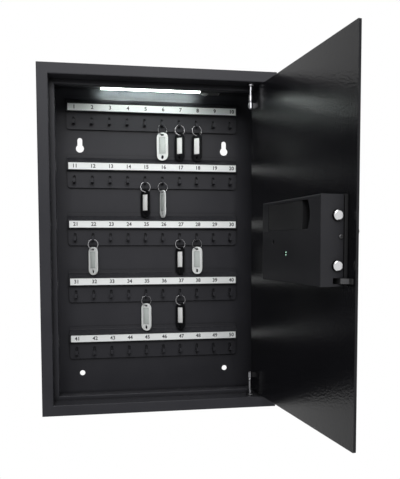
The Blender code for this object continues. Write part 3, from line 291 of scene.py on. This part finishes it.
coat = make_finish(
    "black_powder_coat", (0.020, 0.020, 0.024),
    (0.034, 0.034, 0.039), (0.36, 0.48), 620.0, 0.26, 0.08, shine=0.13,
)
enamel = make_finish(
    "door_black_coat", (0.005, 0.005, 0.006),
    (0.008, 0.008, 0.010), (0.16, 0.24), 320.0, 0.7, 0.03, shine=0.19,
)
# Painted shade: the lock cover gets a darker copy of the body's coat, which stands in for the shade on its
# dim front face.
cover_coat_with_painted_shade = make_finish(
    "cover_coat_darkened_as_painted_shade", (0.015, 0.015, 0.017),
    (0.024, 0.024, 0.027), (0.30, 0.42), 700.0, 0.16, 0.08, shine=0.12,
)
moulded = make_finish(
    "black_moulded_plastic", (0.010, 0.010, 0.011),
    (0.015, 0.015, 0.016), (0.36, 0.46), 1500.0, 0.10, 0.06, shine=0.22,
)
membrane = make_finish(
    "keypad_membrane", (0.026, 0.026, 0.029),
    (0.034, 0.034, 0.038), (0.30, 0.38), 1300.0, 0.06, 0.03, shine=0.3,
)
grey_plastic = make_finish(
    "grey_moulded_plastic", (0.34, 0.35, 0.35),
    (0.42, 0.43, 0.43), (0.35, 0.45), 1400.0, 0.06,
)
ring_steel = make_finish(
    "ring_steel", (0.40, 0.40, 0.41),
    (0.52, 0.52, 0.53), (0.14, 0.26), 900.0, 0.03, 0.0, 0.2 * MM, 1.0,
)
hinge_steel = make_finish(
    "hinge_steel", (0.13, 0.13, 0.14),
    (0.22, 0.22, 0.23), (0.16, 0.28), 700.0, 0.05, 0.0, 0.25 * MM, 1.0,
)
chrome = make_finish(
    "chromed_bolt", (0.56, 0.56, 0.57),
    (0.66, 0.66, 0.67), (0.10, 0.18), 500.0, 0.02, 0.0, 0.3 * MM, 1.0,
)
zinc = make_finish(
    "zinc_plate", (0.36, 0.36, 0.36),
    (0.50, 0.50, 0.49), (0.32, 0.46), 1100.0, 0.06, 0.0, 0.2 * MM, 1.0,
)
dark_zinc = make_finish(
    "blackened_zinc", (0.030, 0.030, 0.032),
    (0.050, 0.050, 0.052), (0.40, 0.55), 900.0, 0.08, 0.0, 0.2 * MM, 0.5,
)
strip_face = make_finish(
    "number_strip_plastic", (0.84, 0.86, 0.86),
    (0.90, 0.92, 0.91), (0.32, 0.40), 800.0, 0.03, 0.0,
)
white_tag = make_finish(
    "white_tag_plastic", (0.82, 0.84, 0.83),
    (0.88, 0.90, 0.89), (0.30, 0.42), 900.0, 0.04, 0.0,
)
black_tag = make_finish(
    "black_tag_plastic", (0.006, 0.006, 0.007),
    (0.009, 0.009, 0.010), (0.28, 0.38), 900.0, 0.05, 0.0, shine=0.2,
)
cell_sleeve = make_finish(
    "cell_sleeve", (0.05, 0.07, 0.20),
    (0.08, 0.10, 0.26), (0.25, 0.35), 600.0, 0.03, 0.0,
)
coil_tape = make_finish(
    "coil_tape", (0.20, 0.04, 0.03),
    (0.28, 0.06, 0.05), (0.50, 0.60), 900.0, 0.10, 0.0,
)
print("finishes:", len(bpy.data.materials))

# %% [markdown]
# ## Card, ink, lenses and the lit tube
#
# Card and ink are plain and matt, the status light is a dark lens with glowing green diodes, and the light
# bar's diffuser glows. The tube isn't lit evenly: a wave texture gives it a faint pulse along its length, as
# a row of diodes behind it would. Each of these needs its own small recipe.


# %% Special finishes
TUBE_GLOW = 10.0
PLAIN_SPREAD = 1.08
PLAIN_ROUGH_RANGE = 0.06


def plain_finish(name, colour, rough, alpha=1.0):
    lighter = tuple(value * PLAIN_SPREAD for value in colour)
    made = make_finish(name, colour, lighter, (rough, rough + PLAIN_ROUGH_RANGE), 900.0, 0.03, 0.0, 0.0)
    shader_of(made).inputs["Alpha"].default_value = alpha
    return made


def diffuser_finish():
    made = plain_finish("lit_diffuser", (0.85, 0.88, 0.86), 0.4)
    nodes, links = made.node_tree.nodes, made.node_tree.links
    shader = shader_of(made)
    place = nodes.new("ShaderNodeTexCoord")
    pulse = nodes.new("ShaderNodeTexWave")
    pulse.bands_direction = "X"
    pulse.inputs["Scale"].default_value = 19.0
    pulse.inputs["Distortion"].default_value = 0.3
    glow = nodes.new("ShaderNodeMix")
    glow.data_type = "RGBA"
    glow.inputs["A"].default_value = (0.72, 0.86, 0.80, 1.0)
    glow.inputs["B"].default_value = (1.0, 1.0, 0.98, 1.0)
    links.new(place.outputs["Object"], pulse.inputs["Vector"])
    links.new(pulse.outputs["Fac"], glow.inputs["Factor"])
    links.new(glow.outputs["Result"], shader.inputs["Emission Color"])
    shader.inputs["Emission Strength"].default_value = TUBE_GLOW
    return made


def glowing_finish(name, colour, strength):
    made = plain_finish(name, colour, 0.15)
    shader_of(made).inputs["Emission Color"].default_value = (*colour, 1.0)
    shader_of(made).inputs["Emission Strength"].default_value = strength
    return made


paper = plain_finish("tag_paper", (0.88, 0.88, 0.87), 0.75)
grey_card = plain_finish("grey_tag_card", (0.56, 0.60, 0.58), 0.7)
ink = plain_finish("number_ink", (0.020, 0.021, 0.024), 0.6)
legend = plain_finish("keypad_legend", (0.62, 0.63, 0.64), 0.5)
diffuser = diffuser_finish()
green_light = glowing_finish("green_status_light", (0.55, 1.0, 0.75), 1.5)
dark_lens = plain_finish("dark_lens", (0.006, 0.007, 0.007), 0.12)
dome_plastic = make_finish(
    "sensor_dome_plastic", (0.40, 0.42, 0.42), (0.50, 0.52, 0.52), (0.25, 0.35), 330.0, 0.35, 0.0
)
print("special finishes ready")

# %% [markdown]
# ## Finishes on the solid parts
#
# The frame's parts keep their shapes, and each one gets its finish by name. The door's coat is darker and
# glossier than the body's. The hinge knuckles are bare round the pin and painted at the foot, so their faces
# are sorted by how far they are from the hinge axis.

# %% Assign finishes
FINISHES = {
    "body_shell": coat,
    "back_panel": coat,
    "light_housing": moulded,
    "light_diffuser": diffuser,
    "light_sensor_dome": dome_plastic,
    "hinge_pin_top": hinge_steel,
    "hinge_pin_bottom": hinge_steel,
    "hinge_knuckle_top": hinge_steel,
    "hinge_knuckle_bottom": hinge_steel,
    "door_leaf": enamel,
    "lock_base": moulded,
    # Painted shade: the cover's darker coat stands in for the shade on its front face.
    "lock_cover": cover_coat_with_painted_shade,
    "battery_tub": moulded,
    "battery_lid": moulded,
    "battery_cells": cell_sleeve,
    "status_lens": dark_lens,
    "cover_screw": dark_zinc,
    "guide_tongue": dark_zinc,
    "solenoid": coil_tape,
    "solenoid_plunger": ring_steel,
    "bolt_carriage": zinc,
    "lock_bolt_upper": chrome,
    "lock_bolt_lower": chrome,
    "spindle_crank": zinc,
    "lock_knob": moulded,
    "reset_button": moulded,
    "keypad_housing": moulded,
    "keypad_pad": membrane,
    "override_cylinder": hinge_steel,
    "override_plug": moulded,
}
WHITE_TAGS = (6, 16, 22, 28, 35)


def finish_for(node):
    if node.startswith("hook_rail"):
        return coat
    if node.startswith("number_strip"):
        return strip_face
    if node.startswith("split_ring"):
        return ring_steel
    if node.startswith("key_tag"):
        return white_tag if int(node[-2:]) in WHITE_TAGS else black_tag
    return FINISHES[node]


for node, part in frame["nodes"].items():
    part.data.materials.clear()
    part.data.materials.append(finish_for(node))
KNUCKLE_REACH = 8 * MM
for node in ("hinge_knuckle_top", "hinge_knuckle_bottom"):
    knuckle = frame["nodes"][node].data
    knuckle.materials.append(enamel)
    for face in knuckle.polygons:
        face.material_index = int((face.center.xy - hinge_axis.xy).length > KNUCKLE_REACH)
print("painted", len(frame["nodes"]), "parts")

# %% [markdown]
# ## Numbers on the strips
#
# Each strip carries ten printed numbers, one a little to the right of each hook. Text objects give clean
# digits; they get a hair of thickness, become a mesh, and each row is joined to one piece.

# %% Strip numbers
ROWS = 5
HOOKS = 10
HOOK_PITCH = 31.2 * MM
DIGIT_SIZE = 9.0 * MM
DIGIT_SHIFT = 1.6 * MM
PRINT_THICK = 0.05 * MM
PRINT_GAP = 0.08 * MM
PRINT_WEIGHT = 0.018


def add_print(text, centre, size, turn, finish):
    """Flat printed text that faces -Y before it is turned about the vertical."""
    bpy.ops.object.select_all(action="DESELECT")
    bpy.ops.object.text_add(location=centre, rotation=(math.pi / 2, 0.0, turn))
    words = bpy.context.object
    words.data.body = text
    words.data.size = size
    words.data.align_x = "CENTER"
    words.data.align_y = "CENTER"
    words.data.resolution_u = 3
    words.data.offset = size * PRINT_WEIGHT
    words.data.extrude = PRINT_THICK
    bpy.ops.object.convert(target="MESH")
    words = bpy.context.object
    words.data.materials.clear()
    words.data.materials.append(finish)
    return words


def hook_x(place):
    return (place - (HOOKS - 1) / 2) * HOOK_PITCH


for row in range(ROWS):
    low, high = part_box(f"number_strip_{row + 1}")
    middle = (low[2] + high[2]) / 2
    digits = []
    for place in range(HOOKS):
        spot = (hook_x(place) + DIGIT_SHIFT, low[1] - PRINT_GAP, middle)
        digits.append(add_print(str(row * HOOKS + place + 1), spot, DIGIT_SIZE, 0.0, ink))
    numbers = join_all(digits, f"printed_numbers_{row + 1}")
    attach(numbers, "cabinet")
print("numbers on", ROWS, "strips")

# %% [markdown]
# ## Split rings
#
# A split ring is flat steel wire wound twice round. The solid model holds one plain band, so the real coil
# replaces it: the outline of a small rectangle, wound by a Screw modifier through a little under two turns,
# climbing just over one wire's thickness a turn. Its two open ends are then filled.

# %% Split ring coil
RING_OUTER = 18.4 * MM
WIRE_WIDE = 1.0 * MM
WIRE_THICK = 0.62 * MM
COIL_TURNS = 1.92
COIL_STEPS = 78
COIL_CLIMB = 1.05
COIL_SMOOTH = 40.0
WIRE_BEVEL = 0.12 * MM
LIE_DEGREES = 37.0
RING_TURNS = {6: 23.0, 7: 8.0, 8: 10.0, 15: 6.0, 16: 10.0, 22: 8.0, 27: 4.0, 28: 10.0, 35: 12.0, 37: 6.0}


def coil_piece(name):
    """Two turns of flat wire about Y, centred on the origin."""
    bpy.ops.object.select_all(action="DESELECT")
    rise = WIRE_THICK * COIL_CLIMB * COIL_TURNS
    start = (RING_OUTER / 2 - WIRE_WIDE / 2, -rise / 2, 0.0)
    bpy.ops.mesh.primitive_plane_add(size=1.0, location=start)
    coil = bpy.context.object
    coil.scale = (WIRE_WIDE, WIRE_THICK, 1.0)
    bpy.ops.object.transform_apply(location=True, rotation=True, scale=True)
    bpy.ops.object.mode_set(mode="EDIT")
    bpy.ops.mesh.select_all(action="SELECT")
    bpy.ops.mesh.delete(type="ONLY_FACE")
    bpy.ops.object.mode_set(mode="OBJECT")
    winding = coil.modifiers.new("winding", "SCREW")
    winding.axis = "Y"
    winding.angle = math.tau * COIL_TURNS
    winding.screw_offset = rise
    winding.steps = winding.render_steps = COIL_STEPS
    bpy.ops.object.modifier_apply(modifier=winding.name)
    bpy.ops.object.mode_set(mode="EDIT")
    bpy.ops.mesh.select_all(action="SELECT")
    bpy.ops.mesh.fill_holes(sides=4)
    bpy.ops.mesh.select_all(action="SELECT")
    bpy.ops.mesh.normals_make_consistent(inside=False)
    bpy.ops.object.mode_set(mode="OBJECT")
    apply_bevel(coil, WIRE_BEVEL, 1)
    return settle(coil, name, COIL_SMOOTH)


model_coil = coil_piece("split_ring_model")
for number, degrees in RING_TURNS.items():
    coil = model_coil.copy()
    coil.data = model_coil.data.copy()
    bpy.context.scene.collection.objects.link(coil)
    lie = math.radians(number * LIE_DEGREES)
    coil.matrix_world = (
        Matrix.Translation(Vector(joints[f"ring_{number:02d}_swing"]["pos_m"]))
        @ Matrix.Rotation(math.radians(degrees), 4, "Z")
        @ Matrix.Rotation(lie, 4, "Y")
    )
    coil.data.materials.clear()
    coil.data.materials.append(ring_steel)
    settle(coil, f"coiled_ring_{number:02d}", COIL_SMOOTH)
    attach(coil, f"ring_{number:02d}")
    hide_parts(f"split_ring_{number:02d}")
bpy.data.objects.remove(model_coil)
print("coiled rings:", len(RING_TURNS), "of", len(coil.data.polygons), "faces")

# %% [markdown]
# ## Tag inserts
#
# Every tag has a shallow window. A card lies in it, inside a raised and rounded rim. The card is a thin
# block with softened edges, and the rim is a block whose front and back are inset and joined through.

# %% Cards and rims
TAG_TURNS = {6: -22.0, 7: -42.0, 8: -40.0, 15: -46.0, 16: -70.0}
TAG_TURNS |= {22: -43.0, 27: -47.0, 28: -40.0, 35: -40.0, 37: -47.0}
TAG_HALF_THICK = 1.1 * MM
WINDOW = (11.6 * MM, 29.0 * MM)
WINDOW_MIDDLE = -18.9 * MM
WINDOW_DEPTH = 0.7 * MM
CARD_ROOM = 0.5 * MM
CARD_THICK = 0.3 * MM
CARD_LIFT = 0.25 * MM
CARD_BEVEL = 0.1 * MM
RIM = 0.9 * MM
RIM_THICK = 0.5 * MM
RIM_LIFT = 0.05 * MM
RIM_BEVEL = 0.15 * MM
FACING_LIMIT = 0.9


def add_card():
    size = (WINDOW[0] - CARD_ROOM, CARD_THICK, WINDOW[1] - CARD_ROOM)
    return add_block((0.0, WINDOW_DEPTH - TAG_HALF_THICK - CARD_LIFT, WINDOW_MIDDLE), size, bevel=CARD_BEVEL)


def add_rim():
    """A raised frame round the window: a block whose front and back are inset and joined through."""
    size = (WINDOW[0] + 2 * RIM, RIM_THICK, WINDOW[1] + 2 * RIM)
    rim = add_block((0.0, -TAG_HALF_THICK - RIM_LIFT, WINDOW_MIDDLE), size)
    bpy.ops.object.mode_set(mode="EDIT")
    bpy.ops.mesh.select_mode(type="FACE")
    bpy.ops.mesh.select_all(action="DESELECT")
    shape = bmesh.from_edit_mesh(rim.data)
    for face in shape.faces:
        face.select_set(abs(face.normal.y) > FACING_LIMIT)
    bmesh.update_edit_mesh(rim.data)
    bpy.ops.mesh.inset(thickness=RIM, use_even_offset=True)
    bpy.ops.mesh.bridge_edge_loops()
    bpy.ops.mesh.select_all(action="SELECT")
    bpy.ops.mesh.normals_make_consistent(inside=False)
    bpy.ops.object.mode_set(mode="OBJECT")
    apply_bevel(rim, RIM_BEVEL)
    return rim


for number, degrees in TAG_TURNS.items():
    hang = Matrix.Translation(Vector(joints[f"tag_{number:02d}_lift"]["pos_m"])) @ Matrix.Rotation(
        math.radians(degrees), 4, "Z"
    )
    pale = number in WHITE_TAGS
    for piece, label, finish in (
        (add_card(), "card", grey_card if pale else paper),
        (add_rim(), "rim", white_tag if pale else black_tag),
    ):
        piece.matrix_world = hang @ piece.matrix_world
        piece.data.materials.clear()
        piece.data.materials.append(finish)
        settle(piece, f"tag_{label}_{number:02d}")
        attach(piece, f"tag_{number:02d}")
print("inserts in", len(TAG_TURNS), "tags")

# %% [markdown]
# ## Keypad on the outer face
#
# The keypad has twelve keys in four rows. One key is a block with rounded edges, and the others repeat it.
# The legends are printed text, and all keys ride on the door because a membrane keypad's keys only flex.

# %% Keys and legends
LEGENDS = ("1", "2", "3", "4", "5", "6", "7", "8", "9", "*", "0", "#")
KEY_SIZE = (17.0 * MM, 1.4 * MM, 12.5 * MM)
KEY_BEVEL = 0.5 * MM
KEY_PITCH = (22.0 * MM, 17.0 * MM)
KEY_COLUMNS = 3
MIDDLE_ROW = 1.5
PAD_ALONG = 174.0 * MM
LEGEND_SIZE = 9.0 * MM
HOUSING_FACE_OUT = -14.5 * MM
KEY_HALF_THICK = 0.7 * MM
KEY_MIDDLE_OUT = HOUSING_FACE_OUT - KEY_HALF_THICK

keys = []
legends = []
for index, text in enumerate(LEGENDS):
    column = index % KEY_COLUMNS - 1
    row = MIDDLE_ROW - index // KEY_COLUMNS
    along = PAD_ALONG - column * KEY_PITCH[0]
    height = row * KEY_PITCH[1]
    keys.append(add_block(on_door(along, KEY_MIDDLE_OUT, height), KEY_SIZE, DOOR_TURN, KEY_BEVEL))
    keys[-1].data.materials.append(moulded)
    spot = on_door(along, KEY_MIDDLE_OUT - KEY_SIZE[1] / 2 - PRINT_GAP, height)
    legends.append(add_print(text, spot, LEGEND_SIZE, DOOR_TURN, legend))
for piece in (join_all(keys, "keypad_keys"), join_all(legends, "keypad_legends")):
    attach(piece, "door")
print("keys:", len(LEGENDS))

# %% [markdown]
# ## Small lights and marks
#
# The lock's status light is two small green diodes in a dark round lens. The knob has a pale line that
# shows its position, and the light bar ends in a grey cap.

# %% Status light, knob line and end cap
LENS_ALONG = 198.0 * MM
LENS_HEIGHT = -16.5 * MM
CASE_TOP = 35.0 * MM
LENS_SUNK = 0.6 * MM
DIODE_OFFSET = 1.7 * MM
DIODE_RADIUS = 0.65 * MM
lit = []
for offset in (-DIODE_OFFSET, DIODE_OFFSET):
    bpy.ops.object.select_all(action="DESELECT")
    bpy.ops.mesh.primitive_uv_sphere_add(
        segments=16,
        ring_count=8,
        radius=DIODE_RADIUS,
        location=on_door(LENS_ALONG, CASE_TOP - LENS_SUNK, LENS_HEIGHT + offset),
    )
    diode = bpy.context.object
    diode.data.materials.append(green_light)
    lit.append(diode)
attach(join_all(lit, "status_diodes"), "door")

KNOB_ALONG = 245.0 * MM
KNOB_HEIGHT = 12.0 * MM
HOUSING_THICK = 11.0 * MM
KNOB_GAP = 0.6 * MM
KNOB_TALL = 23.0 * MM
LINE_OFFSET = 8.0 * MM
LINE_SIZE = (9.0 * MM, 0.3 * MM, 1.2 * MM)
LINE_BEVEL = 0.08 * MM
grip_top = -LEAF_THICK - HOUSING_THICK - KNOB_GAP - KNOB_TALL
line_middle = on_door(KNOB_ALONG - LINE_OFFSET, grip_top, KNOB_HEIGHT)
line = add_block(line_middle, LINE_SIZE, DOOR_TURN, LINE_BEVEL)
line.data.materials.append(legend)
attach(settle(line, "knob_line"), "knob")

CAP_THICK = 1.2 * MM
CAP_DEEPER = 0.6 * MM
CAP_LOWER = 0.4 * MM
CAP_OUT = 0.3 * MM
CAP_BEVEL = 0.3 * MM
low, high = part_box("light_housing")
cap_size = (CAP_THICK, high[1] - low[1] + CAP_DEEPER, high[2] - low[2] - CAP_LOWER)
cap_place = (low[0] - CAP_OUT, (low[1] + high[1]) / 2, (low[2] + high[2]) / 2)
cap = add_block(cap_place, cap_size, 0.0, CAP_BEVEL)
cap.data.materials.append(grey_plastic)
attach(settle(cap, "light_end_cap"), "cabinet")
print("small parts placed")

# %% [markdown]
# ## Light, floor and background
#
# A black object in a white studio is drawn by its reflections. One large soft lamp in front and above
# lights the inside, one overhead lights the top faces, and one at the right lights the door's outer side.
# The background is white to the camera and in reflections, and otherwise gives only a little plain light.

# %% Studio
WORLD_LIGHT = 0.16
FLOOR_HEIGHT = -0.85
FLOOR_SIZE = 12.0
WASH_RISE = 1 * MM
WASH_AIM = 12 * MM
WASH_DEEP = 5 * MM
WASH_POWER = 0.13
WASH_SPREAD = math.radians(44.0)


def add_lamp(name, place, target, size, power):
    data = bpy.data.lights.new(name, "AREA")
    data.shape = "RECTANGLE"
    data.size, data.size_y = size
    data.energy = power
    lamp = bpy.data.objects.new(name, data)
    bpy.context.scene.collection.objects.link(lamp)
    lamp.location = place
    lamp.rotation_euler = (Vector(target) - Vector(place)).to_track_quat("-Z", "Y").to_euler()
    return lamp


def white_when_seen(nodes, links, light_output, plain, seen):
    """Mixes a plain shader with a white one that the camera, mirrors and glass see."""
    path = nodes.new("ShaderNodeLightPath")
    sharp = nodes.new("ShaderNodeMath")
    sharp.operation = "MAXIMUM"
    links.new(path.outputs["Is Glossy Ray"], sharp.inputs[0])
    links.new(path.outputs["Is Transmission Ray"], sharp.inputs[1])
    either = nodes.new("ShaderNodeMath")
    either.operation = "MAXIMUM"
    links.new(path.outputs["Is Camera Ray"], either.inputs[0])
    links.new(sharp.outputs["Value"], either.inputs[1])
    mixed = nodes.new("ShaderNodeMixShader")
    links.new(either.outputs["Value"], mixed.inputs["Fac"])
    links.new(plain, mixed.inputs[1])
    links.new(seen, mixed.inputs[2])
    links.new(mixed.outputs["Shader"], light_output)


world = bpy.data.worlds.new("studio")
world.use_nodes = True
bpy.context.scene.world = world
sky_nodes, sky_links = world.node_tree.nodes, world.node_tree.links
plain_sky = sky_nodes["Background"]
plain_sky.inputs["Color"].default_value = (1.0, 1.0, 1.0, 1.0)
plain_sky.inputs["Strength"].default_value = WORLD_LIGHT
seen_sky = sky_nodes.new("ShaderNodeBackground")
seen_sky.inputs["Color"].default_value = (1.0, 1.0, 1.0, 1.0)
seen_sky.inputs["Strength"].default_value = 1.0
white_when_seen(
    sky_nodes,
    sky_links,
    sky_nodes["World Output"].inputs["Surface"],
    plain_sky.outputs["Background"],
    seen_sky.outputs["Background"],
)

bpy.ops.object.select_all(action="DESELECT")
bpy.ops.mesh.primitive_plane_add(size=FLOOR_SIZE, location=(0.0, 0.0, FLOOR_HEIGHT))
floor = bpy.context.object
floor.name = "floor"
floor_paint = bpy.data.materials.new("pale_floor")
floor_paint.use_nodes = True
paint_nodes, paint_links = floor_paint.node_tree.nodes, floor_paint.node_tree.links
paint_nodes["Principled BSDF"].inputs["Base Color"].default_value = (0.82, 0.82, 0.82, 1.0)
paint_nodes["Principled BSDF"].inputs["Roughness"].default_value = 0.8
seen_floor = paint_nodes.new("ShaderNodeEmission")
white_when_seen(
    paint_nodes,
    paint_links,
    paint_nodes["Material Output"].inputs["Surface"],
    paint_nodes["Principled BSDF"].outputs["BSDF"],
    seen_floor.outputs["Emission"],
)
floor.data.materials.append(floor_paint)

add_lamp("front_soft", (0.05, -1.8, 0.9), (0.0, -0.1, 0.05), (1.2, 0.9), 27.0)
add_lamp("top_soft", (-0.1, -0.9, 1.6), (0.0, -0.1, 0.0), (1.2, 0.8), 9.0)
add_lamp("right_soft", (1.6, -1.2, 0.4), (0.15, -0.3, 0.0), (0.8, 1.4), 5.0)

# A tube bright enough to light the wall behind it washes out the numbers of the top strip. So the tube glows
# less, and this narrow lamp, which isn't a part of the cabinet, adds its light on the wall.
tube_low, tube_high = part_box("light_diffuser")
tube_middle = (tube_low[0] + tube_high[0]) / 2
wash_place = (tube_middle, tube_high[1], tube_low[2] + WASH_RISE)
wash_target = (tube_middle, 0.0, tube_low[2] + WASH_AIM)
wash = add_lamp("tube_wash", wash_place, wash_target, (tube_high[0] - tube_low[0], WASH_DEEP), WASH_POWER)
wash.data.spread = WASH_SPREAD
wash.data.color = (0.86, 1.0, 0.93)

# %% [markdown]
# ## Camera
#
# The photograph was taken from slightly left of the middle, about 1.1 metres from the wall. The lens, the
# camera's turn and the picture's vertical shift come from fitting a pinhole camera to the cabinet's corners,
# hooks and holes.

# %% Camera
IMAGE_HEIGHT = 479
SENSOR = 36.0
FOCAL_PIXELS = 601.16
CENTRE_ROW = 282.65
CAMERA_PLACE = (-0.09538, -1.10036, -0.00530)
PITCH, YAW, ROLL = (math.radians(value) for value in (3.55, -9.33, -0.15))

turned = Matrix.Rotation(ROLL, 3, "Z") @ Matrix.Rotation(PITCH, 3, "X") @ Matrix.Rotation(YAW, 3, "Y")
right, down, ahead = (Vector((line[0], line[2], -line[1])) for line in turned)
camera_data = bpy.data.cameras.new("photo_camera")
camera_data.sensor_width = SENSOR
camera_data.lens = FOCAL_PIXELS * SENSOR / IMAGE_HEIGHT
camera_data.shift_y = (CENTRE_ROW - IMAGE_HEIGHT / 2) / IMAGE_HEIGHT
camera = bpy.data.objects.new("photo_camera", camera_data)
bpy.context.scene.collection.objects.link(camera)
camera.matrix_world = Matrix.Translation(CAMERA_PLACE) @ Matrix((right, -down, -ahead)).transposed().to_4x4()
bpy.context.scene.camera = camera
bpy.context.scene.view_settings.view_transform = "Standard"
print("lens", round(camera_data.lens, 2), "mm")
